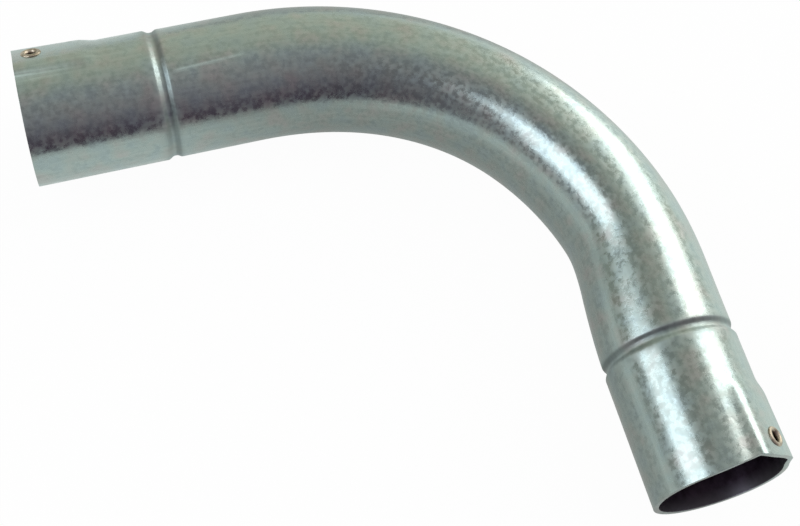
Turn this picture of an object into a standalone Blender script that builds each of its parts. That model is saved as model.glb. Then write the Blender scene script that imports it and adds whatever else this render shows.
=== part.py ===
"""Plug-in bend for steel conduit: a 90 degree tube with a socket at each end.

The tube is one piece. Each end is sized to take a conduit, a rolled groove is the stop that
the conduit meets, and a flat seat is pressed outwards in the socket wall. A brass eyelet
through the seat holds a contact leaf inside the socket. The bend lies on its side.
"""
import math

import bmesh
import bpy
from mathutils import Matrix, Vector

MM = 0.001

# The conduit that plugs in, and the tube that the bend is made from
CONDUIT_OD = 32.0 * MM
SOCKET_CLEARANCE = 0.4 * MM
WALL = 1.4 * MM
TUBE_OD = 34.8 * MM

# The path of the tube's axis
BEND_RADIUS = 84.5 * MM
BEND_ANGLE = math.radians(90.0)
LEG_A = 61.0 * MM
LEG_B = 57.7 * MM

# The bent stretch is narrowed on its inner side, up to a kink near leg B, and swells elsewhere
INNER_NARROWING = 3.8 * MM
OUTER_SWELL = 0.5 * MM
HEIGHT_SWELL = 0.2 * MM
ENTRY_LENGTH = 78.0 * MM
KINK_BEFORE_END = 15.7 * MM
EXIT_POWER = 1.5

# The stop groove, with a gentle flank to the socket and a sharp step to the tube
GROOVE_FROM_END = 37.0 * MM
GROOVE_FLOOR = 1.3 * MM
GROOVE_DEPTH = 0.75 * MM
GROOVE_FLANK = 1.1 * MM
GROOVE_STEP = 0.9 * MM
GROOVE_ROUND = 0.3 * MM

# The seats, turned up from the outer side of the bend; their rise falls off from the rim
SEAT_ANGLE_A = math.radians(54.5)
SEAT_ANGLE_B = math.radians(48.5)
SEAT_WIDTH = 15.0 * MM
SEAT_RISE = 0.7 * MM
SEAT_FALL = 0.3
SEAT_CROWN = 0.45 * MM
SEAT_LENGTH = 17.5 * MM
SEAT_RUNOUT = 5.5 * MM
SEAT_FLANK_LEAN = math.radians(4.0)
SEAT_CORNER_ROUND = 1.8 * MM
SEAT_FOOT_ROUND = 0.7 * MM

# The rim is drawn in where the seat was pressed, at end B most at the seat's upper corner
RIM_PULL = 0.7 * MM
RIM_CORNER_PULL = 0.55 * MM
RIM_UPPER_PULL_B = 1.5 * MM
RIM_SPREAD_A = math.radians(100.0)
RIM_SPREAD_B = math.radians(50.0)

# The eyelet
EYELET_FROM_END = 5.6 * MM
EYELET_BORE = 2.6 * MM
EYELET_WALL = 0.3 * MM
EYELET_HEAD = 5.4 * MM
EYELET_HEIGHT = 0.7 * MM
EYELET_FLARE = 4.8 * MM
DRILL_OVERRUN = 1.4 * MM

# The contact leaf: flat under the eyelet, then bowed towards the conduit
LEAF_FROM_END = 1.8 * MM
LEAF_WIDTH = 6.6 * MM
LEAF_THICKNESS = 0.35 * MM
LEAF_BOW = 1.7 * MM
LEAF_TIP_LIFT = 0.6 * MM
LEAF_CREST_SHARE = 0.6
LEAF_FLAT_MARGIN = 1.2 * MM
LEAF_END_MARGIN = 2.0 * MM

# Gap between pieces that are pressed together on the real bend
FIT_GAP = 0.15 * MM

# Fineness of the meshes
QUADRANT_STEPS = 8
OUTLINE_GAP = math.radians(3.4)
ENTRY_STEPS = 19
EXIT_STEPS = 3
RUN_STEPS = 4
CORNER_STEPS = 3
FOOT_STEPS = 2
RUNOUT_STEPS = 4
HEAD_STEPS = 4
TURNED_STEPS = 18
LEAF_STEPS = 14
SHARP_ANGLE = math.radians(40.0)
MERGE = 0.001 * MM

TUBE_RADIUS = TUBE_OD / 2
SOCKET_RADIUS = (CONDUIT_OD + SOCKET_CLEARANCE) / 2 + WALL
SEAT_TOP = SOCKET_RADIUS + SEAT_RISE
EYELET_SHANK_RADIUS = EYELET_BORE / 2 + EYELET_WALL
BEND_LENGTH = BEND_RADIUS * BEND_ANGLE
KINK_AT = BEND_LENGTH - KINK_BEFORE_END
GROOVE_END = GROOVE_FROM_END + GROOVE_FLOOR / 2 + GROOVE_STEP


def clear_scene():
    """Start from an empty scene."""
    for item in list(bpy.data.objects):
        bpy.data.objects.remove(item, do_unlink=True)


def new_collection(name):
    collection = bpy.data.collections.new(name)
    bpy.context.scene.collection.children.link(collection)
    return collection


def metal(name, colour, roughness):
    material = bpy.data.materials.new(name)
    material.use_nodes = True
    shader = material.node_tree.nodes["Principled BSDF"]
    shader.inputs["Base Color"].default_value = (*colour, 1.0)
    shader.inputs["Metallic"].default_value = 1.0
    shader.inputs["Roughness"].default_value = roughness
    return material


def smoothstep(share):
    share = min(max(share, 0.0), 1.0)
    return share * share * (3.0 - 2.0 * share)


def seat_top(distance):
    """Height of the seat's middle above the socket's axis, at a distance from the rim."""
    return SEAT_TOP - SEAT_RISE * SEAT_FALL * distance / SEAT_LENGTH


def fillet(before, corner, after, radius, steps):
    """Points of the arc that rounds one corner of a 2D outline."""
    to_before = (before - corner).normalized()
    to_after = (after - corner).normalized()
    half = to_before.angle(to_after) / 2
    centre = corner + (to_before + to_after).normalized() * (radius / math.sin(half))
    reach = radius / math.tan(half)
    first = corner + to_before * reach - centre
    last = corner + to_after * reach - centre
    sweep = math.atan2(first.x * last.y - first.y * last.x, first.dot(last))
    return [centre + Matrix.Rotation(sweep * i / steps, 2) @ first for i in range(steps + 1)]


def seat_half_outline():
    """Half of the seat's section, from its middle out to the round wall.

    x runs across the seat and y away from the socket's axis.
    """
    half_width = SEAT_WIDTH / 2
    corner = Vector((half_width, SEAT_TOP - SEAT_CROWN))
    down = Vector((math.sin(SEAT_FLANK_LEAN), -math.cos(SEAT_FLANK_LEAN)))
    along = corner.dot(down)
    drop = -along - math.sqrt(along ** 2 - corner.length_squared + SOCKET_RADIUS ** 2)
    foot = corner + down * drop
    wall_run = Vector((foot.y, -foot.x)).normalized()
    crown_slope = Vector((half_width, -2 * SEAT_CROWN)).normalized()
    points = []
    for share in (0.0, 0.5):
        points.append(Vector((half_width * share, SEAT_TOP - SEAT_CROWN * share ** 2)))
    points += fillet(corner - crown_slope, corner, foot, SEAT_CORNER_ROUND, CORNER_STEPS)
    points += fillet(corner, foot, foot + wall_run, SEAT_FOOT_ROUND, FOOT_STEPS)
    return points


def section_outline(seat_angle):
    """The turn of each point of a section round the axis, and its rise where a seat is."""
    half = []
    for point in seat_half_outline():
        half.append((math.atan2(point.x, point.y), max(point.length - SOCKET_RADIUS, 0.0)))
    outline = [(seat_angle - turn, rise) for turn, rise in reversed(half[1:])]
    outline += [(seat_angle + turn, rise) for turn, rise in half]
    step = math.pi / 2 / QUADRANT_STEPS
    reach = half[-1][0] + OUTLINE_GAP
    first = math.ceil((max(SEAT_ANGLE_A, SEAT_ANGLE_B) + reach) / step)
    last = math.floor((min(SEAT_ANGLE_A, SEAT_ANGLE_B) - reach + 2 * math.pi) / step)
    outline += [(i * step, 0.0) for i in range(first, last + 1)]
    return outline


def groove_outline():
    """Distance from the open end and radius, from the socket through the groove."""
    floor_start = GROOVE_FROM_END - GROOVE_FLOOR / 2
    floor_end = GROOVE_FROM_END + GROOVE_FLOOR / 2
    floor_radius = SOCKET_RADIUS - GROOVE_DEPTH
    corners = [
        Vector((floor_start - GROOVE_FLANK - GROOVE_FLOOR, SOCKET_RADIUS)),
        Vector((floor_start - GROOVE_FLANK, SOCKET_RADIUS)),
        Vector((floor_start, floor_radius)),
        Vector((floor_end, floor_radius)),
        Vector((floor_end + GROOVE_STEP, TUBE_RADIUS)),
        Vector((floor_end + GROOVE_STEP + GROOVE_FLOOR, TUBE_RADIUS)),
    ]
    points = []
    for before, corner, after in zip(corners, corners[1:], corners[2:]):
        points += fillet(before, corner, after, GROOVE_ROUND, 1)
    return [(point.x, point.y) for point in points]


def leg_stations():
    """Sections of a leg from its open end: distance, radius and how much of the seat."""
    stations = [(0.0, SOCKET_RADIUS, 1.0)]
    for i in range(RUNOUT_STEPS + 1):
        share = i / RUNOUT_STEPS
        seat = (1.0 - SEAT_FALL) * (1.0 - smoothstep(share))
        stations.append((SEAT_LENGTH + SEAT_RUNOUT * share, SOCKET_RADIUS, seat))
    stations += [(distance, radius, 0.0) for distance, radius in groove_outline()]
    return stations


def leg_direction(turn):
    """Unit vectors along the tube and away from the bend's centre, after a turn of the bend."""
    along = Vector((math.cos(turn), -math.sin(turn), 0.0))
    outward = Vector((math.sin(turn), math.cos(turn), 0.0))
    return along, outward


def narrowing(travel):
    """How much of the narrowing there is, after a travel along the axis from the bend's start."""
    exit_length = BEND_LENGTH + LEG_B - GROOVE_END - KINK_AT
    left = 1.0 - (travel - KINK_AT) / exit_length
    return smoothstep(travel / ENTRY_LENGTH) * min(max(left, 0.0), 1.0) ** EXIT_POWER


def ring(travel, radius, seat_angle, seat=0.0):
    """One section of the tube, after a travel along the axis from the bend's start."""
    on_arc = min(max(travel, 0.0), BEND_LENGTH)
    along, outward = leg_direction(on_arc / BEND_RADIUS)
    axis_point = outward * BEND_RADIUS + along * (travel - on_arc)
    up = Vector((0.0, 0.0, 1.0))
    bent = narrowing(travel) / TUBE_RADIUS
    points = []
    for turn, rise in section_outline(seat_angle):
        reach = radius + seat * rise
        x = reach * math.cos(turn)
        y = reach * math.sin(turn) * (1.0 + bent * HEIGHT_SWELL)
        if x > 0.0:
            x *= 1.0 + bent * OUTER_SWELL
        else:
            x *= 1.0 - bent * INNER_NARROWING
        points.append(axis_point + outward * x + up * y)
    return points


def draw_in_rim(row, seat_angle, inward, upper_pull, spread):
    """Move the points of a rim inwards at the seat and over a turn on either side of it."""
    corner = math.asin(SEAT_WIDTH / 2 / SEAT_TOP)
    for point, (turn, rise) in zip(row, section_outline(seat_angle)):
        away = math.remainder(turn - seat_angle, 2 * math.pi)
        corner_pull = upper_pull if away > 0.0 else RIM_CORNER_PULL
        away = abs(away)
        if away < corner:
            pull = RIM_PULL + (corner_pull - RIM_PULL) * (away / corner) ** 2
        else:
            pull = corner_pull * max(1.0 - (away - corner) / spread, 0.0) ** 2
        point += inward * pull


def tube_rings():
    """All sections from open end A to open end B, about the bend's centre."""
    rings = []
    for distance, radius, seat in leg_stations():
        rings.append(ring(distance - LEG_A, radius, SEAT_ANGLE_A, seat))
    travels = [KINK_AT * i / ENTRY_STEPS for i in range(ENTRY_STEPS)]
    travels += [KINK_AT + KINK_BEFORE_END * i / EXIT_STEPS for i in range(EXIT_STEPS)]
    run = LEG_B - GROOVE_END
    travels += [BEND_LENGTH + run * i / RUN_STEPS for i in range(RUN_STEPS)]
    for travel in travels:
        share = min(travel / BEND_LENGTH, 1.0)
        seat_angle = SEAT_ANGLE_A + (SEAT_ANGLE_B - SEAT_ANGLE_A) * share
        rings.append(ring(travel, TUBE_RADIUS, seat_angle))
    for distance, radius, seat in reversed(leg_stations()):
        rings.append(ring(BEND_LENGTH + LEG_B - distance, radius, SEAT_ANGLE_B, seat))
    along_a, outward_a = leg_direction(0.0)
    along_b, outward_b = leg_direction(BEND_ANGLE)
    draw_in_rim(rings[0], SEAT_ANGLE_A, along_a, RIM_CORNER_PULL, RIM_SPREAD_A)
    draw_in_rim(rings[-1], SEAT_ANGLE_B, -along_b, RIM_UPPER_PULL_B, RIM_SPREAD_B)
    return rings


def skin(name, rings, closed):
    """Loft quads through rows of points that run along a surface."""
    mesh = bpy.data.meshes.new(name)
    shape = bmesh.new()
    rows = [[shape.verts.new(point) for point in row] for row in rings]
    for row, following in zip(rows, rows[1:]):
        count = len(row) if closed else len(row) - 1
        for i in range(count):
            j = (i + 1) % len(row)
            shape.faces.new((row[i], row[j], following[j], following[i]))
    shape.to_mesh(mesh)
    shape.free()
    mesh.shade_smooth()
    mesh.set_sharp_from_angle(angle=SHARP_ANGLE)
    return mesh


def add_object(name, mesh, collection, parent, material=None):
    item = bpy.data.objects.new(name, mesh)
    collection.objects.link(item)
    item.parent = parent
    if material is not None:
        mesh.materials.append(material)
    return item


def add_wall(item, thickness, offset):
    """Give an open surface its thickness; offset -1 puts it all on the inner side."""
    wall = item.modifiers.new("wall", "SOLIDIFY")
    wall.thickness = thickness
    wall.offset = offset
    wall.use_even_offset = True


def cut(item, cutter):
    hole = item.modifiers.new("hole for " + cutter.name, "BOOLEAN")
    hole.operation = "DIFFERENCE"
    hole.object = cutter


def seat_frame(name, end_point, inward, outward, seat_angle, collection, parent):
    """An empty on the socket's axis at its open end: Y runs inwards and Z through the seat."""
    up = Vector((0.0, 0.0, 1.0))
    through = outward * math.cos(seat_angle) + up * math.sin(seat_angle)
    across = inward.cross(through)
    frame = bpy.data.objects.new(name, None)
    collection.objects.link(frame)
    frame.parent = parent
    frame.empty_display_size = SEAT_TOP
    rotation = Matrix((across, inward, through)).transposed().to_4x4()
    frame.matrix_local = Matrix.Translation(end_point) @ rotation
    return frame


def eyelet_mesh(name):
    """Profile of a hollow rivet: rolled head outside, shank through the wall, flare inside."""
    bore = EYELET_BORE / 2
    head = EYELET_HEAD / 2
    flare = EYELET_FLARE / 2
    crest = (EYELET_SHANK_RADIUS + head) / 2
    funnel_depth = EYELET_HEIGHT / 2
    flare_top = -(WALL + LEAF_THICKNESS + 2 * FIT_GAP)
    flare_bottom = flare_top - EYELET_WALL
    profile = []
    for i in range(HEAD_STEPS + 1):
        turn = math.pi / 2 * (1.0 - i / HEAD_STEPS)
        height = FIT_GAP + (EYELET_HEIGHT - FIT_GAP) * math.sin(turn)
        profile.append((crest + (head - crest) * math.cos(turn), height))
    profile.append((EYELET_SHANK_RADIUS, FIT_GAP))
    profile.append((EYELET_SHANK_RADIUS, flare_top))
    profile.append((flare - EYELET_WALL / 2, flare_top))
    profile.append((flare, flare_top - EYELET_WALL / 2))
    profile.append((flare - EYELET_WALL / 2, flare_bottom))
    profile.append((bore + EYELET_WALL / 2, flare_bottom))
    profile.append((bore, flare_bottom + EYELET_WALL / 2))
    for i in range(HEAD_STEPS):
        turn = math.pi - math.pi / 2 * i / HEAD_STEPS
        height = -funnel_depth + (EYELET_HEIGHT + funnel_depth) * math.sin(turn)
        profile.append((crest + (crest - bore) * math.cos(turn), height))
    mesh = bpy.data.meshes.new(name)
    corners = [(radius, 0.0, height) for radius, height in profile]
    edges = [(i, (i + 1) % len(corners)) for i in range(len(corners))]
    mesh.from_pydata(corners, edges, [])
    return mesh


def add_eyelet(name, collection, frame, material):
    eyelet = add_object(name, eyelet_mesh(name), collection, frame, material)
    eyelet.location = (0.0, EYELET_FROM_END, seat_top(EYELET_FROM_END))
    turned = eyelet.modifiers.new("turned", "SCREW")
    turned.axis = "Z"
    turned.steps = TURNED_STEPS
    turned.render_steps = TURNED_STEPS
    turned.use_merge_vertices = True
    turned.merge_threshold = MERGE
    turned.use_smooth_shade = True
    return eyelet


def add_hole_cutter(name, collection, frame):
    """A drill for the eyelet's shank, through the socket wall and the leaf."""
    depth = WALL + LEAF_THICKNESS + 2 * DRILL_OVERRUN
    mesh = bpy.data.meshes.new(name)
    shape = bmesh.new()
    radius = EYELET_SHANK_RADIUS + FIT_GAP
    bmesh.ops.create_cone(shape, cap_ends=True, segments=TURNED_STEPS, radius1=radius,
                          radius2=radius, depth=depth)
    shape.to_mesh(mesh)
    shape.free()
    cutter = add_object(name, mesh, collection, frame)
    middle = seat_top(EYELET_FROM_END) - (WALL + LEAF_THICKNESS) / 2
    cutter.location = (0.0, EYELET_FROM_END, middle)
    cutter.hide_render = True
    cutter.display_type = "WIRE"
    return cutter


def leaf_rows():
    """Points of the leaf's middle surface, in the seat's frame."""
    below = WALL + FIT_GAP + LEAF_THICKNESS / 2
    flat_end = EYELET_FROM_END + EYELET_FLARE / 2 + LEAF_FLAT_MARGIN
    tip = SEAT_LENGTH + SEAT_RUNOUT - LEAF_END_MARGIN
    middle = seat_top(flat_end) - below
    rows = []
    stations = [(LEAF_FROM_END, seat_top(LEAF_FROM_END) - below)]
    for i in range(LEAF_STEPS + 1):
        share = i / LEAF_STEPS
        drop = LEAF_BOW * smoothstep(share / LEAF_CREST_SHARE)
        lift = LEAF_TIP_LIFT * smoothstep((share - LEAF_CREST_SHARE) / (1.0 - LEAF_CREST_SHARE))
        stations.append((flat_end + (tip - flat_end) * share, middle - drop + lift))
    for distance, height in stations:
        half = LEAF_WIDTH / 2
        rows.append([Vector((x, distance, height)) for x in (-half, 0.0, half)])
    return rows


def add_leaf(name, collection, frame, material):
    leaf = add_object(name, skin(name, leaf_rows(), closed=False), collection, frame, material)
    add_wall(leaf, LEAF_THICKNESS, 0.0)
    return leaf


def build():
    clear_scene()
    parts = new_collection("conduit_bend")
    cutters = new_collection("cutters")
    zinc = metal("zinc_plated_steel", (0.50, 0.55, 0.54), 0.32)
    brass = metal("eyelet_brass", (0.72, 0.50, 0.30), 0.30)
    bronze = metal("leaf_bronze", (0.70, 0.46, 0.27), 0.35)

    rings = tube_rings()
    corners = [point for row in rings for point in row]
    middle_x = (min(p.x for p in corners) + max(p.x for p in corners)) / 2
    middle_y = (min(p.y for p in corners) + max(p.y for p in corners)) / 2
    bend_centre = bpy.data.objects.new("bend_centre", None)
    parts.objects.link(bend_centre)
    bend_centre.location = (-middle_x, -middle_y, -min(p.z for p in corners))

    tube = add_object("bend_tube", skin("bend_tube", rings, closed=True), parts, bend_centre, zinc)
    add_wall(tube, WALL, -1.0)

    along_a, outward_a = leg_direction(0.0)
    along_b, outward_b = leg_direction(BEND_ANGLE)
    ends = {
        "a": (outward_a * BEND_RADIUS - along_a * LEG_A, along_a, outward_a, SEAT_ANGLE_A),
        "b": (outward_b * BEND_RADIUS + along_b * LEG_B, -along_b, outward_b, SEAT_ANGLE_B),
    }
    for side, (end_point, inward, outward, seat_angle) in ends.items():
        frame = seat_frame("seat_" + side, end_point, inward, outward, seat_angle, parts,
                           bend_centre)
        cutter = add_hole_cutter("eyelet_hole_" + side, cutters, frame)
        cut(tube, cutter)
        leaf = add_leaf("contact_leaf_" + side, parts, frame, bronze)
        cut(leaf, cutter)
        add_eyelet("eyelet_" + side, parts, frame, brass)


build()
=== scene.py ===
"""The look of a plug-in steel conduit bend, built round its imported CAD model."""
import math

import bpy
import numpy as np
from mathutils import Matrix, Vector


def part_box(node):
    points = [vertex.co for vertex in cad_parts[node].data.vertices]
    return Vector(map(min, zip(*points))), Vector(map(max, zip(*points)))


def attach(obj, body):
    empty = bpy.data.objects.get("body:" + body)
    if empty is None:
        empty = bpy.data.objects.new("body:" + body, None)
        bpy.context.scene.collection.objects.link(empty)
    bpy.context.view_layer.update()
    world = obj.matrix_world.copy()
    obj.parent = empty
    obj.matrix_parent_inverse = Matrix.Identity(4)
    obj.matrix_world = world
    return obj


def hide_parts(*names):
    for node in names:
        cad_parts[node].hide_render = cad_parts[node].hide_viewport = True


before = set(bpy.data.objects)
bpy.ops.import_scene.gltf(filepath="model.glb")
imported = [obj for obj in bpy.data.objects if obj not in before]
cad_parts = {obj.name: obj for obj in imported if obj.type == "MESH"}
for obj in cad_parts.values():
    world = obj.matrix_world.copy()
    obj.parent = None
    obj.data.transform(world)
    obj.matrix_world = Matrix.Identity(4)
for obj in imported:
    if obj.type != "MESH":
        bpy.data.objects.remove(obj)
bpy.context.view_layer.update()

MM = 0.001


# The bend tube
# One piece of zinc-plated steel tube, bent through 90 degrees. Each end is opened out to a
# socket that takes a 32 mm conduit, a groove is rolled round it as the conduit's stop, and a
# flat seat is pressed outwards at its rim.
WALL = 1.4 * MM
SOCKET_RADIUS = 17.6 * MM
TUBE_RADIUS = 17.4 * MM
BEND_RADIUS = 84.5 * MM
BEND_ANGLE = math.radians(90.0)
LEG_A = 61.0 * MM
LEG_B = 57.7 * MM
BEND_LENGTH = BEND_RADIUS * BEND_ANGLE
AXIS_HEIGHT = 17.6 * MM
tube_low, tube_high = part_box("bend_tube")
BEND_CENTRE = Vector((tube_low.x + LEG_A, tube_low.y + LEG_B, AXIS_HEIGHT))

# Where the round sections of the raw tube lie, as distances from an open end
SOCKET_STEPS = [0.0, 0.25, 0.6, 1.2, 2.0, 3.0, 4.0, 5.0, 6.0, 7.0, 8.0, 9.5, 11.0, 12.5, 14.0,
                15.5, 16.6, 17.5, 18.2, 18.9, 19.6, 20.3, 21.0, 21.7, 22.4, 23.2, 24.5, 27.0,
                30.0, 32.5, 34.2, 34.7, 35.0, 35.25, 35.5, 35.75, 36.0, 36.2, 36.35, 36.5,
                36.8, 37.1, 37.4, 37.6, 37.75, 37.95, 38.15, 38.35, 38.55, 38.75, 39.1, 39.6,
                40.5]
POINTS_ROUND = 216
ARC_STEPS = 72
RUN_STEPS = 12
WELD = 0.001 * MM


def extrude_ring(shift):
    """Pull the selected ring of edges along, which leaves a band of wall behind it."""
    bpy.ops.mesh.extrude_region_move(TRANSFORM_OT_translate={"value": shift})


bpy.ops.object.select_all(action="DESELECT")
rim_a = BEND_CENTRE + Vector((-LEG_A, BEND_RADIUS, 0.0))
bpy.ops.mesh.primitive_circle_add(vertices=POINTS_ROUND, radius=SOCKET_RADIUS, location=rim_a,
                                  rotation=(0.0, math.pi / 2, 0.0))
tube = bpy.context.object
tube.name = "bend_tube_plated"
bpy.ops.object.transform_apply(location=True, rotation=True, scale=True)
bpy.ops.object.mode_set(mode="EDIT")
bpy.ops.mesh.select_all(action="SELECT")
stations = [distance * MM for distance in SOCKET_STEPS]
run = (LEG_A - stations[-1]) / RUN_STEPS
stations += [stations[-1] + run * (i + 1) for i in range(RUN_STEPS)]
for here, following in zip(stations, stations[1:]):
    extrude_ring((following - here, 0.0, 0.0))
bpy.ops.mesh.spin(steps=ARC_STEPS, angle=BEND_ANGLE, center=BEND_CENTRE, axis=(0.0, 0.0, 1.0))
stations = [distance * MM for distance in SOCKET_STEPS]
run = (LEG_B - stations[-1]) / RUN_STEPS
stations += [stations[-1] + run * (i + 1) for i in range(RUN_STEPS)]
for here, following in zip(stations[::-1], stations[-2::-1]):
    extrude_ring((0.0, following - here, 0.0))
bpy.ops.mesh.select_all(action="SELECT")
bpy.ops.mesh.remove_doubles(threshold=WELD)
bpy.ops.object.mode_set(mode="OBJECT")


# The raw tube is then formed: the groove is rolled, the bend narrows, the seats are pressed.
# Each side of the groove has its start, as a distance from the end, its width and its height.
GROOVE_DOWN = (34.95 * MM, 1.8 * MM, 0.8 * MM)
GROOVE_UP = (37.4 * MM, 1.5 * MM, 0.6 * MM)
GROOVE_END = 38.55 * MM

# The bend is narrower on its inner side and a little swollen on the others, most of all at a
# slight kink near its end
INNER_NARROWING = 3.8 * MM
OUTER_SWELL = 0.5 * MM
HEIGHT_SWELL = 0.2 * MM
ENTRY_LENGTH = 78.0 * MM
KINK_AT = BEND_LENGTH - 15.7 * MM
KINK_ROUND = 4.0 * MM
KINK_SOFTENING = 0.04

# The seats, turned from the plane of the bend, with the section and the run-out of each
SEAT_ANGLES = {"a": math.radians(54.5), "b": math.radians(48.5)}
SEAT_HALF_WIDTH = 7.5 * MM
SEAT_TOP = SOCKET_RADIUS + 0.7 * MM
SEAT_RISE = 0.7 * MM
SEAT_FALL = 0.3
SEAT_CROWN = 0.45 * MM
SEAT_LENGTH = 17.5 * MM
SEAT_RUNOUT = 5.5 * MM
SEAT_EDGE_FROM = 4.4 * MM
SEAT_EDGE_FALL = 0.09
FLANK_SLOPE = math.tan(math.radians(58.0))
FLANK_FROM = 7.1 * MM
FLANK_HEIGHT = 17.35 * MM
CORNER_BLEND = 0.7 * MM
FOOT_BLEND = 1.9 * MM
SECTION_HALF = 12.0 * MM
SECTION_POINTS = 601

# How far the rims lie back at a seat's middle and at its corners, and how far that reaches
RIM_PULL = 0.7 * MM
RIM_CORNER_PULL = 0.55 * MM
RIM_UPPER_PULLS = {"a": 0.55 * MM, "b": 1.5 * MM}
RIM_SPREADS = {"a": math.radians(100.0), "b": math.radians(50.0)}
RIM_REACH = 18.0 * MM


def smooth(share):
    share = np.clip(share, 0.0, 1.0)
    return share * share * (3.0 - 2.0 * share)


def soft_least(first, second, blend):
    """The smaller of two heights, with a rounded corner where they cross."""
    near = np.clip(blend - np.abs(first - second), 0.0, None) / blend
    return np.minimum(first, second) - near * near * blend / 4.0


# Half of a seat's section: a crown that falls off softly, a leaning flank and the round socket
seat_across = np.linspace(0.0, SECTION_HALF, SECTION_POINTS)
seat_crown = SEAT_TOP - SEAT_CROWN * (seat_across / SEAT_HALF_WIDTH) ** 2
past_edge = np.clip(seat_across - SEAT_EDGE_FROM, 0.0, None)
seat_crown -= SEAT_EDGE_FALL * past_edge ** 2 / MM
seat_flank = FLANK_HEIGHT - FLANK_SLOPE * (seat_across - FLANK_FROM)
seat_height = soft_least(seat_crown, seat_flank, CORNER_BLEND)
socket_height = np.sqrt(SOCKET_RADIUS ** 2 - seat_across ** 2)
seat_height = -soft_least(-seat_height, -socket_height, FOOT_BLEND)
section_away = np.arctan2(seat_across, seat_height)
section_reach = np.hypot(seat_across, seat_height)

# Each point of the raw tube, by how far it is along the bend and by its turn round the axis
mesh = tube.data
co = np.empty(len(mesh.vertices) * 3)
mesh.vertices.foreach_get("co", co)
co = co.reshape(-1, 3) - np.array(BEND_CENTRE)
bearing = np.clip(np.arctan2(co[:, 0], co[:, 1]), 0.0, BEND_ANGLE)
travel = bearing * BEND_RADIUS
travel = np.where(co[:, 0] < 0.0, np.minimum(co[:, 0], 0.0), travel)
travel = np.where(co[:, 1] < 0.0, BEND_LENGTH - np.minimum(co[:, 1], 0.0), travel)
bearing = np.clip(travel / BEND_RADIUS, 0.0, BEND_ANGLE)
out_x, out_y = np.sin(bearing), np.cos(bearing)
outward = co[:, 0] * out_x + co[:, 1] * out_y - BEND_RADIUS
turn = np.arctan2(co[:, 2], outward)

end_a = travel + LEG_A
end_b = BEND_LENGTH + LEG_B - travel
nearest_end = np.minimum(end_a, end_b)
reach = np.full_like(travel, SOCKET_RADIUS)
for (start, width, height), way in ((GROOVE_DOWN, -1.0), (GROOVE_UP, 1.0)):
    reach += way * height * smooth((nearest_end - start) / width)
shift = np.zeros_like(reach)
for side, distance, way in (("a", end_a, 1.0), ("b", end_b, -1.0)):
    away = np.remainder(turn - SEAT_ANGLES[side] + np.pi, 2 * np.pi) - np.pi
    left = 1.0 - smooth((distance - SEAT_LENGTH) / SEAT_RUNOUT)
    left *= 1.0 - SEAT_FALL * np.clip(distance / SEAT_LENGTH, 0.0, 1.0)
    seat_reach = np.interp(np.abs(away), section_away, section_reach, right=SOCKET_RADIUS)
    reach += left * (seat_reach - SOCKET_RADIUS)
    corner = math.asin(SEAT_HALF_WIDTH / SEAT_TOP)
    corner_pull = np.where(away > 0.0, RIM_UPPER_PULLS[side], RIM_CORNER_PULL)
    inside = RIM_PULL + (corner_pull - RIM_PULL) * (away / corner) ** 2
    beyond = np.clip(1.0 - (np.abs(away) - corner) / RIM_SPREADS[side], 0.0, 1.0)
    pull = np.where(np.abs(away) < corner, inside, corner_pull * beyond ** 2)
    shift += way * pull * np.clip(1.0 - distance / RIM_REACH, 0.0, 1.0)

exit_length = BEND_LENGTH + LEG_B - GROOVE_END - KINK_AT
left = np.clip(1.0 - (travel - KINK_AT) / exit_length, 0.0, 1.0)
rounding = np.clip(1.0 - np.abs(travel - KINK_AT) / KINK_ROUND, 0.0, 1.0) ** 2
rounding *= KINK_SOFTENING
bent = smooth(travel / ENTRY_LENGTH) * (left ** 1.5 - rounding) / TUBE_RADIUS
side_way = reach * np.cos(turn)
upward = reach * np.sin(turn) * (1.0 + bent * HEIGHT_SWELL)
side_way *= np.where(side_way > 0.0, 1.0 + bent * OUTER_SWELL, 1.0 - bent * INNER_NARROWING)

travel_there = travel + shift
on_arc = np.clip(travel_there, 0.0, BEND_LENGTH)
beyond_arc = travel_there - on_arc
formed = np.stack([
    out_x * (BEND_RADIUS + side_way) + out_y * beyond_arc,
    out_y * (BEND_RADIUS + side_way) - out_x * beyond_arc,
    upward,
], axis=1) + np.array(BEND_CENTRE)
mesh.vertices.foreach_set("co", formed.ravel())

# The straight tube's own coordinates, so that drawing marks run along it round the bend
straight = np.stack([travel, SOCKET_RADIUS * np.cos(turn), SOCKET_RADIUS * np.sin(turn)], axis=1)
drawn = mesh.attributes.new("drawn", "FLOAT_VECTOR", "POINT")
drawn.data.foreach_set("vector", straight.ravel())
depth = mesh.attributes.new("depth", "FLOAT", "POINT")
depth.data.foreach_set("value", nearest_end)

# Where the rolling has dulled the groove, and where its side towards the bend is darkened with
# painted shade: the distances from the end at which each begins and ends, and how far it takes to
# come and go
ROLLED_FROM, ROLLED_IN = 33.6 * MM, 1.4 * MM
ROLLED_TO, ROLLED_OUT = 38.4 * MM, 1.6 * MM
GROOVE_SHADE_FROM, GROOVE_SHADE_TO, GROOVE_SHADE_BLEND = 36.6 * MM, 38.1 * MM, 0.9 * MM
GROOVE_SHADE_STRENGTH = 0.45
groove_share = smooth((nearest_end - ROLLED_FROM) / ROLLED_IN)
groove_share *= 1.0 - smooth((nearest_end - ROLLED_TO) / ROLLED_OUT)
rolled = mesh.attributes.new("rolled", "FLOAT", "POINT")
rolled.data.foreach_set("value", groove_share)
# Painted shade: the groove's side towards the bend is darkened, as if in shade.
groove_shade_share = smooth((nearest_end - GROOVE_SHADE_FROM) / GROOVE_SHADE_BLEND)
groove_shade_share *= 1.0 - smooth((nearest_end - GROOVE_SHADE_TO) / GROOVE_SHADE_BLEND)
painted_groove_shade = mesh.attributes.new("painted_groove_shade", "FLOAT", "POINT")
painted_groove_shade.data.foreach_set("value", GROOVE_SHADE_STRENGTH * groove_shade_share)
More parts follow.
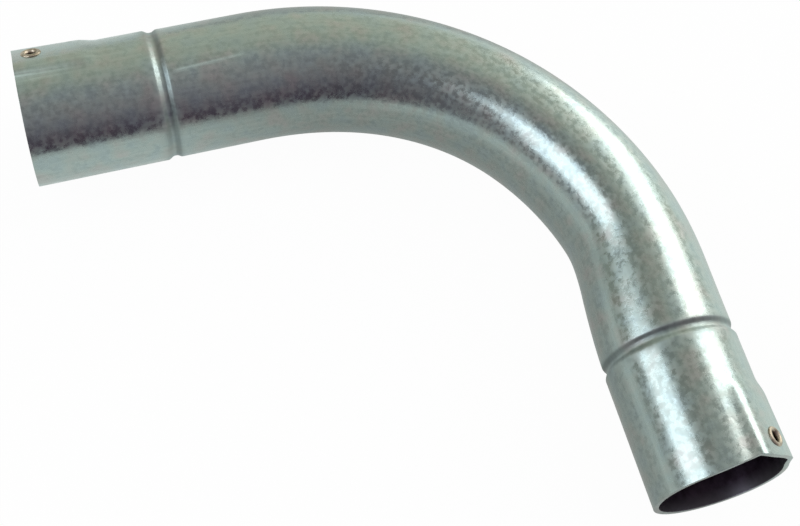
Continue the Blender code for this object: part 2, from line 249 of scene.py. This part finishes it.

# A pale painted highlight runs along the foot of the seat at end A, and a scratch on leg A is
# pale
CREASE_HIGHLIGHT_TURN = math.radians(82.5)
CREASE_HIGHLIGHT_WIDTH = 1.3 * MM
CREASE_HIGHLIGHT_FADE_FROM = 4.0 * MM
CREASE_HIGHLIGHT_FADE_OVER = 14.0 * MM
SCRATCH_TURN = math.radians(100.8)
SCRATCH_LEAN = math.radians(0.17) / MM
SCRATCH_WIDTH = 0.45 * MM
SCRATCH_FROM = -21.0 * MM
SCRATCH_TO = -1.5 * MM
SCRATCH_STRENGTH = 0.7
# Painted highlight: a pale line along the crease at the foot of seat A.
crease_highlight_share = np.exp(-((turn - CREASE_HIGHLIGHT_TURN) * SOCKET_RADIUS / CREASE_HIGHLIGHT_WIDTH) ** 2)
crease_highlight_share *= 1.0 - smooth((end_a - CREASE_HIGHLIGHT_FADE_FROM) / CREASE_HIGHLIGHT_FADE_OVER)
scratch_turn = SCRATCH_TURN - SCRATCH_LEAN * (travel - SCRATCH_TO)
scratch_share = np.exp(-((turn - scratch_turn) * SOCKET_RADIUS / SCRATCH_WIDTH) ** 2)
scratch_share *= smooth((travel - SCRATCH_FROM) / MM) * smooth((SCRATCH_TO - travel) / MM)
painted_highlight_and_scratch = mesh.attributes.new("painted_highlight_and_scratch", "FLOAT", "POINT")
painted_highlight_and_scratch.data.foreach_set("value", np.maximum(crease_highlight_share, SCRATCH_STRENGTH * scratch_share))
mesh.update()

bpy.ops.object.select_all(action="DESELECT")
tube.select_set(True)
bpy.context.view_layer.objects.active = tube
bpy.ops.object.mode_set(mode="EDIT")
bpy.ops.mesh.select_all(action="SELECT")
bpy.ops.mesh.normals_make_consistent(inside=False)
bpy.ops.object.mode_set(mode="OBJECT")

# The wall's thickness, inwards from the formed surface, with the cut rims just broken
BROKEN_EDGE = 0.18 * MM
wall = tube.modifiers.new("wall", "SOLIDIFY")
wall.thickness = WALL
wall.offset = -1.0
wall.use_even_offset = True
wall.material_offset = 1
wall.material_offset_rim = 0
edge = tube.modifiers.new("broken edge", "BEVEL")
edge.width = BROKEN_EDGE
edge.segments = 2
edge.limit_method = "ANGLE"
edge.angle_limit = math.radians(60.0)


# Where a seat is on each socket: X runs across it, Y into the socket and Z out through it
def seat_matrix(side):
    if side == "a":
        inward, outward_way = Vector((1.0, 0.0, 0.0)), Vector((0.0, 1.0, 0.0))
        rim = BEND_CENTRE + Vector((-LEG_A, BEND_RADIUS, 0.0))
    else:
        inward, outward_way = Vector((0.0, 1.0, 0.0)), Vector((1.0, 0.0, 0.0))
        rim = BEND_CENTRE + Vector((BEND_RADIUS, -LEG_B, 0.0))
    up = Vector((0.0, 0.0, 1.0))
    angle = SEAT_ANGLES[side]
    through = outward_way * math.cos(angle) + up * math.sin(angle)
    across = inward.cross(through)
    turned = Matrix((across, inward, through)).transposed().to_4x4()
    return Matrix.Translation(rim) @ turned


# The hole that is punched through the seat for the eyelet
EYELET_FROM_END = 5.6 * MM
SEAT_HEIGHT = SEAT_TOP - SEAT_RISE * SEAT_FALL * EYELET_FROM_END / SEAT_LENGTH
PUNCH_RADIUS = 1.68 * MM
PUNCH_LENGTH = 6.0 * MM
punches = {}
for side in ("a", "b"):
    bpy.ops.object.select_all(action="DESELECT")
    bpy.ops.mesh.primitive_cylinder_add(vertices=40, radius=PUNCH_RADIUS, depth=PUNCH_LENGTH,
                                        location=(0.0, EYELET_FROM_END, SEAT_HEIGHT - WALL))
    punch = bpy.context.object
    bpy.ops.object.transform_apply(location=True, rotation=True, scale=True)
    punch.data.transform(seat_matrix(side))
    punches[side] = punch


def punch_hole(piece, side):
    hole = piece.modifiers.new("eyelet hole", "BOOLEAN")
    hole.operation = "DIFFERENCE"
    hole.solver = "EXACT"
    hole.object = punches[side]


def apply_modifiers(piece):
    bpy.ops.object.select_all(action="DESELECT")
    piece.select_set(True)
    bpy.context.view_layer.objects.active = piece
    for modifier in list(piece.modifiers):
        bpy.ops.object.modifier_apply(modifier=modifier.name)


punch_hole(tube, "a")
punch_hole(tube, "b")


def srgb(code):
    """A hex colour as the linear values that a shader takes."""
    values = []
    for i in (1, 3, 5):
        part = int(code[i:i + 2], 16) / 255.0
        values.append(part / 12.92 if part <= 0.04045 else ((part + 0.055) / 1.055) ** 2.4)
    return (*values, 1.0)


def add_node(tree, kind, sockets=None, **settings):
    """Add a node, with its settings, and its sockets given as values or as links. A socket goes
    by its name, or by its number where the node has several of one name."""
    node = tree.nodes.new(kind)
    for name, value in settings.items():
        setattr(node, name, value)
    for name, value in (sockets or {}).items():
        if isinstance(value, bpy.types.NodeSocket):
            tree.links.new(value, node.inputs[name])
        else:
            node.inputs[name].default_value = value
    return node


def set_ramp(node, stops):
    """Give a colour ramp its stops, as positions with linear colours."""
    elements = node.color_ramp.elements
    while len(elements) > 1:
        elements.remove(elements[-1])
    elements[0].position, elements[0].color = stops[0][0], stops[0][1]
    for position, colour in stops[1:]:
        elements.new(position).color = colour


def new_material(name):
    material = bpy.data.materials.new(name)
    material.use_nodes = True
    tree = material.node_tree
    return material, tree, tree.nodes["Principled BSDF"]


def grey(value):
    return (value, value, value, 1.0)


# Electroplated zinc with a clear to greenish passivation, on drawn steel tube. The eye gets a
# satin metal with a cloudy green and blue-grey bloom about 6 mm across, and a mottle of darker,
# shinier spots about 1.5 mm across. Fine drawing marks run along it. The grooves are duller, with
# painted shade on their side towards the bend. A painted highlight runs pale along the foot of
# seat A, and a scratch on leg A is pale.
zinc, tree, shader = new_material("zinc_plated_passivated_steel")
drawn_at = add_node(tree, "ShaderNodeAttribute", attribute_name="drawn").outputs["Vector"]
bloom = add_node(tree, "ShaderNodeTexNoise",
                 {"Vector": drawn_at, "Scale": 160.0, "Detail": 2.0, "Roughness": 0.5})
bloom_colour = add_node(tree, "ShaderNodeValToRGB", {"Fac": bloom.outputs["Fac"]})
set_ramp(bloom_colour, [(0.34, srgb("#A0ADAC")), (0.46, srgb("#A3AFAB")),
                        (0.58, srgb("#A6AEA9")), (0.70, srgb("#AAACA8"))])
grain = add_node(tree, "ShaderNodeTexNoise",
                 {"Vector": drawn_at, "Scale": 640.0, "Detail": 2.0, "Roughness": 0.5})
grain_shade = add_node(tree, "ShaderNodeValToRGB", {"Fac": grain.outputs["Fac"]})
set_ramp(grain_shade, [(0.34, grey(0.88)), (0.47, grey(0.975)), (0.66, grey(1.03))])
stretched = add_node(tree, "ShaderNodeVectorMath", {0: drawn_at, 1: (0.06, 1.0, 1.0)},
                     operation="MULTIPLY")
marks = add_node(tree, "ShaderNodeTexNoise",
                 {"Vector": stretched.outputs[0], "Scale": 1100.0, "Detail": 2.0,
                  "Roughness": 0.5})
marks_shade = add_node(tree, "ShaderNodeValToRGB", {"Fac": marks.outputs["Fac"]})
set_ramp(marks_shade, [(0.35, grey(0.95)), (0.6, grey(1.02))])
shaded = add_node(tree, "ShaderNodeMix", {0: 1.0, 6: bloom_colour.outputs["Color"],
                                          7: grain_shade.outputs["Color"]},
                  data_type="RGBA", blend_type="MULTIPLY")
marked = add_node(tree, "ShaderNodeMix", {0: 1.0, 6: shaded.outputs[2],
                                          7: marks_shade.outputs["Color"]},
                  data_type="RGBA", blend_type="MULTIPLY")
# The painted highlight along the foot of seat A and the pale scratch on leg A are mixed in pale.
highlight_and_scratch_at = add_node(tree, "ShaderNodeAttribute", attribute_name="painted_highlight_and_scratch").outputs["Fac"]
pale_line_breaks = add_node(tree, "ShaderNodeMapRange",
                      {"Value": marks.outputs["Fac"], "From Min": 0.38, "From Max": 0.55,
                       "To Min": 0.5, "To Max": 1.0})
pale_lines = add_node(tree, "ShaderNodeMath", {0: highlight_and_scratch_at, 1: pale_line_breaks.outputs["Result"]},
               operation="MULTIPLY")
# Painted shade darkens the groove's side towards the bend.
groove_shade_at = add_node(tree, "ShaderNodeAttribute", attribute_name="painted_groove_shade").outputs["Fac"]
dark = add_node(tree, "ShaderNodeMix", {0: groove_shade_at, 6: marked.outputs[2],
                                        7: srgb("#3E4446")}, data_type="RGBA")
highlit_and_scratched = add_node(tree, "ShaderNodeMix", {0: pale_lines.outputs[0], 6: dark.outputs[2],
                                        7: srgb("#D6E8E4")}, data_type="RGBA")
dullness = add_node(tree, "ShaderNodeMapRange",
                    {"Value": grain.outputs["Fac"], "From Min": 0.36, "From Max": 0.66,
                     "To Min": 0.20, "To Max": 0.36})
groove_at = add_node(tree, "ShaderNodeAttribute", attribute_name="rolled").outputs["Fac"]
duller = add_node(tree, "ShaderNodeMath",
                  {0: groove_at, 1: 0.18, 2: dullness.outputs["Result"]},
                  operation="MULTIPLY_ADD")
grain_bump = add_node(tree, "ShaderNodeBump",
                      {"Height": grain.outputs["Fac"], "Strength": 0.6,
                       "Distance": 0.055 * MM})
marks_bump = add_node(tree, "ShaderNodeBump",
                      {"Height": marks.outputs["Fac"], "Strength": 0.4,
                       "Distance": 0.015 * MM, "Normal": grain_bump.outputs["Normal"]})
shader.inputs["Metallic"].default_value = 1.0
tree.links.new(highlit_and_scratched.outputs[2], shader.inputs["Base Color"])
tree.links.new(duller.outputs[0], shader.inputs["Roughness"])
tree.links.new(marks_bump.outputs["Normal"], shader.inputs["Normal"])

# Inside, the plating only reaches in from the rims; deeper in, the steel is nearly bare with mill
# scale. Its dark colour there is partly that steel and partly painted shade, deepening away from
# the rims.
bore, tree, shader = new_material("bore_steel_and_painted_shade")
drawn_at = add_node(tree, "ShaderNodeAttribute", attribute_name="drawn").outputs["Vector"]
depth_at = add_node(tree, "ShaderNodeAttribute", attribute_name="depth").outputs["Fac"]
scale_spots = add_node(tree, "ShaderNodeTexNoise",
                       {"Vector": drawn_at, "Scale": 300.0, "Detail": 4.0, "Roughness": 0.6})
scale_and_shade_colour = add_node(tree, "ShaderNodeValToRGB", {"Fac": scale_spots.outputs["Fac"]})
set_ramp(scale_and_shade_colour, [(0.35, srgb("#4C3F4C")), (0.65, srgb("#6E6072"))])
# Partly plating, partly painted shade: the bore is lighter near the rims and darker deeper in.
plated_and_lit_rim = add_node(tree, "ShaderNodeMapRange",
                  {"Value": depth_at, "From Min": 0.8 * MM, "From Max": 4.0 * MM,
                   "To Min": 0.7, "To Max": 0.0})
bore_colour = add_node(tree, "ShaderNodeMix",
                       {0: plated_and_lit_rim.outputs["Result"], 6: scale_and_shade_colour.outputs["Color"],
                        7: srgb("#8A898E")}, data_type="RGBA")
bore_bump = add_node(tree, "ShaderNodeBump",
                     {"Height": scale_spots.outputs["Fac"], "Strength": 0.3,
                      "Distance": 0.05 * MM})
shader.inputs["Metallic"].default_value = 1.0
shader.inputs["Roughness"].default_value = 0.42
tree.links.new(bore_colour.outputs[2], shader.inputs["Base Color"])
tree.links.new(bore_bump.outputs["Normal"], shader.inputs["Normal"])

tube.data.materials.append(zinc)
tube.data.materials.append(bore)
apply_modifiers(tube)

# The cuts leave a few points on top of each other, which are joined so that the mesh is closed
bpy.ops.object.mode_set(mode="EDIT")
bpy.ops.mesh.select_all(action="SELECT")
bpy.ops.mesh.remove_doubles(threshold=WELD)
bpy.ops.object.mode_set(mode="OBJECT")
bpy.ops.object.shade_smooth_by_angle(angle=math.radians(35.0))
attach(tube, "root")
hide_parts("bend_tube")


# The eyelets
# A hollow rivet of rolled brass in each seat. Its head is rolled outside, its shank goes
# through the wall and the contact leaf, and its end is flared over the leaf inside.
EYELET_PROFILE = [(1.62, 0.0), (2.52, 0.0), (2.68, 0.07), (2.70, 0.18), (2.64, 0.32),
                  (2.50, 0.47), (2.3, 0.58), (2.08, 0.62), (1.88, 0.58), (1.68, 0.44),
                  (1.5, 0.22), (1.38, -0.08), (1.32, -0.45), (1.3, -1.0), (1.3, -1.95),
                  (1.34, -2.14), (1.46, -2.28), (1.62, -2.34), (2.2, -2.34), (2.36, -2.26),
                  (2.4, -2.18), (2.36, -2.08), (2.2, -2.04), (1.62, -2.04)]

# Rolled brass, dulled by the passivation bath, with dark painted shade in the bore and at the
# foot of the head. The eye gets a creamy tan ring round a nearly black hole.
brass, tree, shader = new_material("rolled_brass")
place = add_node(tree, "ShaderNodeTexCoord").outputs["Object"]
tarnish = add_node(tree, "ShaderNodeTexNoise",
                   {"Vector": place, "Scale": 900.0, "Detail": 3.0, "Roughness": 0.6})
height_at = add_node(tree, "ShaderNodeAttribute", attribute_name="height").outputs["Fac"]
brass_colour = add_node(tree, "ShaderNodeValToRGB", {"Fac": tarnish.outputs["Fac"]})
set_ramp(brass_colour, [(0.35, srgb("#8F8473")), (0.6, srgb("#BBAE9B"))])
# Painted shade: the brass is darkened in its bore and at the foot of its head.
painted_shade_low = add_node(tree, "ShaderNodeMapRange",
                {"Value": height_at, "From Min": -0.5 * MM, "From Max": 0.14 * MM,
                 "To Min": 1.0, "To Max": 0.0})
brass_and_painted_shade = add_node(tree, "ShaderNodeMix",
                 {0: painted_shade_low.outputs["Result"], 6: brass_colour.outputs["Color"],
                  7: srgb("#2A1E17")}, data_type="RGBA")
brass_bump = add_node(tree, "ShaderNodeBump",
                      {"Height": tarnish.outputs["Fac"], "Strength": 0.2,
                       "Distance": 0.03 * MM})
shader.inputs["Metallic"].default_value = 1.0
shader.inputs["Roughness"].default_value = 0.4
tree.links.new(brass_and_painted_shade.outputs[2], shader.inputs["Base Color"])
tree.links.new(brass_bump.outputs["Normal"], shader.inputs["Normal"])

for side in ("a", "b"):
    bpy.ops.object.select_all(action="DESELECT")
    first_radius, first_height = EYELET_PROFILE[0]
    bpy.ops.mesh.primitive_circle_add(vertices=48, radius=first_radius * MM,
                                      location=(0.0, 0.0, first_height * MM))
    eyelet = bpy.context.object
    eyelet.name = "eyelet_" + side + "_rolled"
    bpy.ops.object.transform_apply(location=True, rotation=True, scale=True)
    bpy.ops.object.mode_set(mode="EDIT")
    bpy.ops.mesh.select_all(action="SELECT")
    closed = EYELET_PROFILE[1:] + EYELET_PROFILE[:1]
    for (radius, height), (next_radius, next_height) in zip(EYELET_PROFILE, closed):
        extrude_ring((0.0, 0.0, (next_height - height) * MM))
        grow = next_radius / radius
        bpy.ops.transform.resize(value=(grow, grow, 1.0), center_override=(0.0, 0.0, 0.0))
    bpy.ops.mesh.select_all(action="SELECT")
    bpy.ops.mesh.remove_doubles(threshold=0.002 * MM)
    bpy.ops.mesh.normals_make_consistent(inside=False)
    bpy.ops.object.mode_set(mode="OBJECT")
    heights = eyelet.data.attributes.new("height", "FLOAT", "POINT")
    for i, vertex in enumerate(eyelet.data.vertices):
        heights.data[i].value = vertex.co.z
    seated = seat_matrix(side) @ Matrix.Translation((0.0, EYELET_FROM_END, SEAT_HEIGHT))
    eyelet.data.transform(seated)
    eyelet.data.materials.append(brass)
    bpy.ops.object.shade_smooth_by_angle(angle=math.radians(60.0))
    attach(eyelet, "root")
    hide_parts("eyelet_" + side)


# The contact leaves
# A strip of spring bronze under each seat, held by the eyelet. It is flat against the wall at
# the rim and bows towards the conduit further in, so that it presses on it.
LEAF_WIDTH = 6.6 * MM
LEAF_THICKNESS = 0.35 * MM
LEAF_START = 1.8 * MM
LEAF_END = 21.0 * MM
LEAF_BOW_FROM = 9.2 * MM
LEAF_BOW = 1.7 * MM
LEAF_LIFT = 0.6 * MM
LEAF_CREST = 0.6
LEAF_GAP = 0.15 * MM
LEAF_CUTS = 30
LEAF_ROUND = 1.2 * MM
LEAF_NARROWING = 0.3

# Cold-rolled spring bronze. The eye gets a warm brown metal, clouded with age in patches about
# 3 mm across.
bronze, tree, shader = new_material("spring_bronze")
place = add_node(tree, "ShaderNodeTexCoord").outputs["Object"]
patina = add_node(tree, "ShaderNodeTexNoise",
                  {"Vector": place, "Scale": 350.0, "Detail": 4.0, "Roughness": 0.6})
patina_colour = add_node(tree, "ShaderNodeValToRGB", {"Fac": patina.outputs["Fac"]})
set_ramp(patina_colour, [(0.35, srgb("#7A5A3E")), (0.65, srgb("#B08559"))])
patina_bump = add_node(tree, "ShaderNodeBump",
                       {"Height": patina.outputs["Fac"], "Strength": 0.2,
                        "Distance": 0.03 * MM})
shader.inputs["Metallic"].default_value = 1.0
shader.inputs["Roughness"].default_value = 0.38
tree.links.new(patina_colour.outputs["Color"], shader.inputs["Base Color"])
tree.links.new(patina_bump.outputs["Normal"], shader.inputs["Normal"])

for side in ("a", "b"):
    bpy.ops.object.select_all(action="DESELECT")
    bpy.ops.mesh.primitive_plane_add(size=1.0)
    leaf = bpy.context.object
    leaf.name = "contact_leaf_" + side + "_sprung"
    leaf.scale = (LEAF_WIDTH, LEAF_END - LEAF_START, 1.0)
    leaf.location = (0.0, (LEAF_START + LEAF_END) / 2, 0.0)
    bpy.ops.object.transform_apply(location=True, rotation=True, scale=True)
    bpy.ops.object.mode_set(mode="EDIT")
    bpy.ops.mesh.select_all(action="SELECT")
    bpy.ops.mesh.subdivide(number_cuts=LEAF_CUTS)
    bpy.ops.object.mode_set(mode="OBJECT")
    leaf_co = np.empty(len(leaf.data.vertices) * 3)
    leaf.data.vertices.foreach_get("co", leaf_co)
    leaf_co = leaf_co.reshape(-1, 3)
    along = leaf_co[:, 1]
    share = (along - LEAF_BOW_FROM) / (LEAF_END - LEAF_BOW_FROM)
    under = SEAT_TOP - WALL - LEAF_GAP - LEAF_THICKNESS / 2
    fall = SEAT_RISE * SEAT_FALL * np.minimum(along, LEAF_BOW_FROM) / SEAT_LENGTH
    bow = LEAF_BOW * smooth(share / LEAF_CREST)
    lift = LEAF_LIFT * smooth((share - LEAF_CREST) / (1.0 - LEAF_CREST))
    leaf_co[:, 2] = under - fall - bow + lift
    near_end = np.minimum(along - LEAF_START, LEAF_END - along)
    rounding = np.clip(1.0 - near_end / LEAF_ROUND, 0.0, 1.0)
    leaf_co[:, 0] *= 1.0 - LEAF_NARROWING * rounding ** 2
    leaf.data.vertices.foreach_set("co", leaf_co.ravel())
    leaf.data.transform(seat_matrix(side))
    leaf.data.update()
    sheet = leaf.modifiers.new("sheet", "SOLIDIFY")
    sheet.thickness = LEAF_THICKNESS
    sheet.offset = 0.0
    punch_hole(leaf, side)
    leaf.data.materials.append(bronze)
    apply_modifiers(leaf)
    bpy.ops.object.shade_smooth_by_angle(angle=math.radians(40.0))
    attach(leaf, "root")
    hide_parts("contact_leaf_" + side)

for punch in punches.values():
    bpy.data.objects.remove(punch)


# The floor
# White paper, wide enough to fill the picture. It is shown white, with a trace of the shadow
# under the bend. In the metal's reflections it glows with painted shade inside the bend, where
# the bend shades it, and with painted light beyond leg B, under the lamps on the right.
PAPER_SHOWN = 0.97
PAPER_MIRRORED = 0.75
FLOOR_DROP = 0.2 * MM
FLOOR_WIDTH = 1.6
FLOOR_NEAR = -0.30
FLOOR_FAR = 1.1
paper, tree, shader = new_material("white_paper")
shader.inputs["Base Color"].default_value = srgb("#F4F4F2")
shader.inputs["Roughness"].default_value = 0.9
rays = add_node(tree, "ShaderNodeLightPath")
place = add_node(tree, "ShaderNodeTexCoord").outputs["Object"]
across = add_node(tree, "ShaderNodeSeparateXYZ", {"Vector": place}).outputs["X"]
# Painted light and shade for the metal's reflections: dark inside the bend, bright beyond leg B.
from_left = add_node(tree, "ShaderNodeMapRange",
                     {"Value": across, "From Min": -0.05, "From Max": 0.15})
painted_floor_light_and_shade = add_node(tree, "ShaderNodeValToRGB", {"Fac": from_left.outputs["Result"]})
set_ramp(painted_floor_light_and_shade, [(0.0, (0.94, 1.02, 1.00, 1.0)), (0.22, (0.52, 0.54, 0.52, 1.0)),
                       (0.6, (0.52, 0.54, 0.52, 1.0)), (0.92, (1.24, 1.36, 1.31, 1.0))])
glow_colour = add_node(tree, "ShaderNodeMix",
                       {0: rays.outputs["Is Glossy Ray"], 6: grey(1.0),
                        7: painted_floor_light_and_shade.outputs["Color"]}, data_type="RGBA")
mirrored = add_node(tree, "ShaderNodeMath",
                    {0: rays.outputs["Is Glossy Ray"], 1: PAPER_MIRRORED}, operation="MULTIPLY")
seen = add_node(tree, "ShaderNodeMath", {0: rays.outputs["Is Camera Ray"],
                                         1: rays.outputs["Is Transmission Ray"]},
                operation="MAXIMUM")
share = add_node(tree, "ShaderNodeMath",
                 {0: seen.outputs[0], 1: PAPER_SHOWN, 2: mirrored.outputs[0]},
                 operation="MULTIPLY_ADD")
white = add_node(tree, "ShaderNodeEmission", {"Color": glow_colour.outputs[2], "Strength": 1.0})
floor_look = add_node(tree, "ShaderNodeMixShader",
                      {0: share.outputs[0], 1: shader.outputs[0], 2: white.outputs[0]})
tree.links.new(floor_look.outputs[0], tree.nodes["Material Output"].inputs["Surface"])
bpy.ops.object.select_all(action="DESELECT")
bpy.ops.mesh.primitive_plane_add(size=1.0)
floor = bpy.context.object
floor.name = "floor"
floor.scale = (FLOOR_WIDTH, FLOOR_FAR - FLOOR_NEAR, 1.0)
floor.location = (0.0, (FLOOR_FAR + FLOOR_NEAR) / 2, -FLOOR_DROP)
bpy.ops.object.transform_apply(location=True, rotation=True, scale=True)
floor.data.materials.append(paper)


# The studio
# Even light from the far side that falls off towards the camera, and soft lamps, one on the
# left of the bend and two on its right, which its long streaks of light mirror.
LAMP_AIM = Vector((0.04, 0.04, 0.0))
world = bpy.data.worlds.new("studio")
bpy.context.scene.world = world
world.use_nodes = True
tree = world.node_tree
tree.nodes.clear()
way = add_node(tree, "ShaderNodeTexCoord").outputs["Generated"]
parts = add_node(tree, "ShaderNodeSeparateXYZ", {"Vector": way})
from_near = add_node(tree, "ShaderNodeMapRange",
                     {"Value": parts.outputs["Y"], "From Min": -1.0, "From Max": 1.0})
light = add_node(tree, "ShaderNodeValToRGB", {"Fac": from_near.outputs["Result"]})
set_ramp(light, [(0.0, (0.12, 0.08, 0.12, 1.0)), (0.1, (0.30, 0.27, 0.32, 1.0)),
                 (0.2, (0.39, 0.355, 0.39, 1.0)), (0.32, (0.43, 0.40, 0.42, 1.0)),
                 (0.5, (0.50, 0.50, 0.52, 1.0)), (0.63, (0.56, 0.58, 0.54, 1.0)),
                 (0.75, (0.68, 0.71, 0.62, 1.0)), (1.0, (0.82, 0.84, 0.72, 1.0))])
from_left = add_node(tree, "ShaderNodeMapRange",
                     {"Value": parts.outputs["X"], "From Min": -1.0, "From Max": 1.0})
fall_off = add_node(tree, "ShaderNodeValToRGB", {"Fac": from_left.outputs["Result"]})
set_ramp(fall_off, [(0.0, grey(0.70)), (0.32, grey(0.72)), (0.42, grey(0.75)),
                    (0.5, grey(0.96)), (0.88, grey(1.1)), (0.97, grey(1.7))])
lit = add_node(tree, "ShaderNodeMix", {0: 1.0, 6: light.outputs["Color"],
                                       7: fall_off.outputs["Color"]},
               data_type="RGBA", blend_type="MULTIPLY")
room = add_node(tree, "ShaderNodeBackground", {"Color": lit.outputs[2]})
plain = add_node(tree, "ShaderNodeBackground", {"Color": grey(1.0)})
rays = add_node(tree, "ShaderNodeLightPath")
either = add_node(tree, "ShaderNodeMixShader", {0: rays.outputs["Is Camera Ray"],
                                                1: room.outputs[0], 2: plain.outputs[0]})
add_node(tree, "ShaderNodeOutputWorld", {"Surface": either.outputs[0]})


def add_lamp(name, azimuth, elevation, distance, size, power, colour, roll):
    """A soft rectangular lamp that faces the bend, placed by its direction from it in degrees,
    its distance in metres and its power in watts."""
    lamp = bpy.data.lights.new(name, "AREA")
    lamp.shape = "RECTANGLE"
    lamp.size, lamp.size_y = size
    lamp.energy = power
    lamp.color = srgb(colour)[:3]
    item = bpy.data.objects.new(name, lamp)
    bpy.context.scene.collection.objects.link(item)
    a, e = math.radians(azimuth), math.radians(elevation)
    back = Vector((math.cos(a) * math.cos(e), math.sin(a) * math.cos(e), math.sin(e)))
    rolled_by = Matrix.Rotation(math.radians(roll), 3, "Z").to_quaternion()
    item.rotation_mode = "QUATERNION"
    item.rotation_quaternion = back.to_track_quat("Z", "Y") @ rolled_by
    item.location = BEND_CENTRE + LAMP_AIM + back * distance


add_lamp("right softbox", 17.25, 37.5, 1.016, (0.52, 0.60), 3.1, "#FFFFFF", 30.8)
add_lamp("right strip light", 37.3, 13.6, 1.066, (0.31, 0.455), 1.4, "#FFFFFF", 23.6)
add_lamp("left softbox", 181.0, 38.5, 1.0, (0.66, 0.64), 4.0, "#EDF5FF", -8.0)


# The camera, where the photographer's was, as the photo's perspective gives it
camera_data = bpy.data.cameras.new("camera")
camera_data.lens = 65.94
camera_data.sensor_width = 36.0
camera_data.clip_start = 0.02
camera = bpy.data.objects.new("camera", camera_data)
bpy.context.scene.collection.objects.link(camera)
camera_x = Vector((0.95680537, -0.27863621, 0.082978))
camera_y = Vector((0.21712976, 0.8746613, 0.43338467))
camera_z = Vector((-0.1933343, -0.39664779, 0.89738084))
eye = BEND_CENTRE + Vector((-48.889, -130.524, 341.060)) * MM
eye += (camera_y - camera_x) * 0.125 * MM
camera.matrix_world = Matrix.Translation(eye) @ Matrix((camera_x, camera_y,
                                                        camera_z)).transposed().to_4x4()
bpy.context.scene.camera = camera
bpy.context.scene.view_settings.view_transform = "Standard"
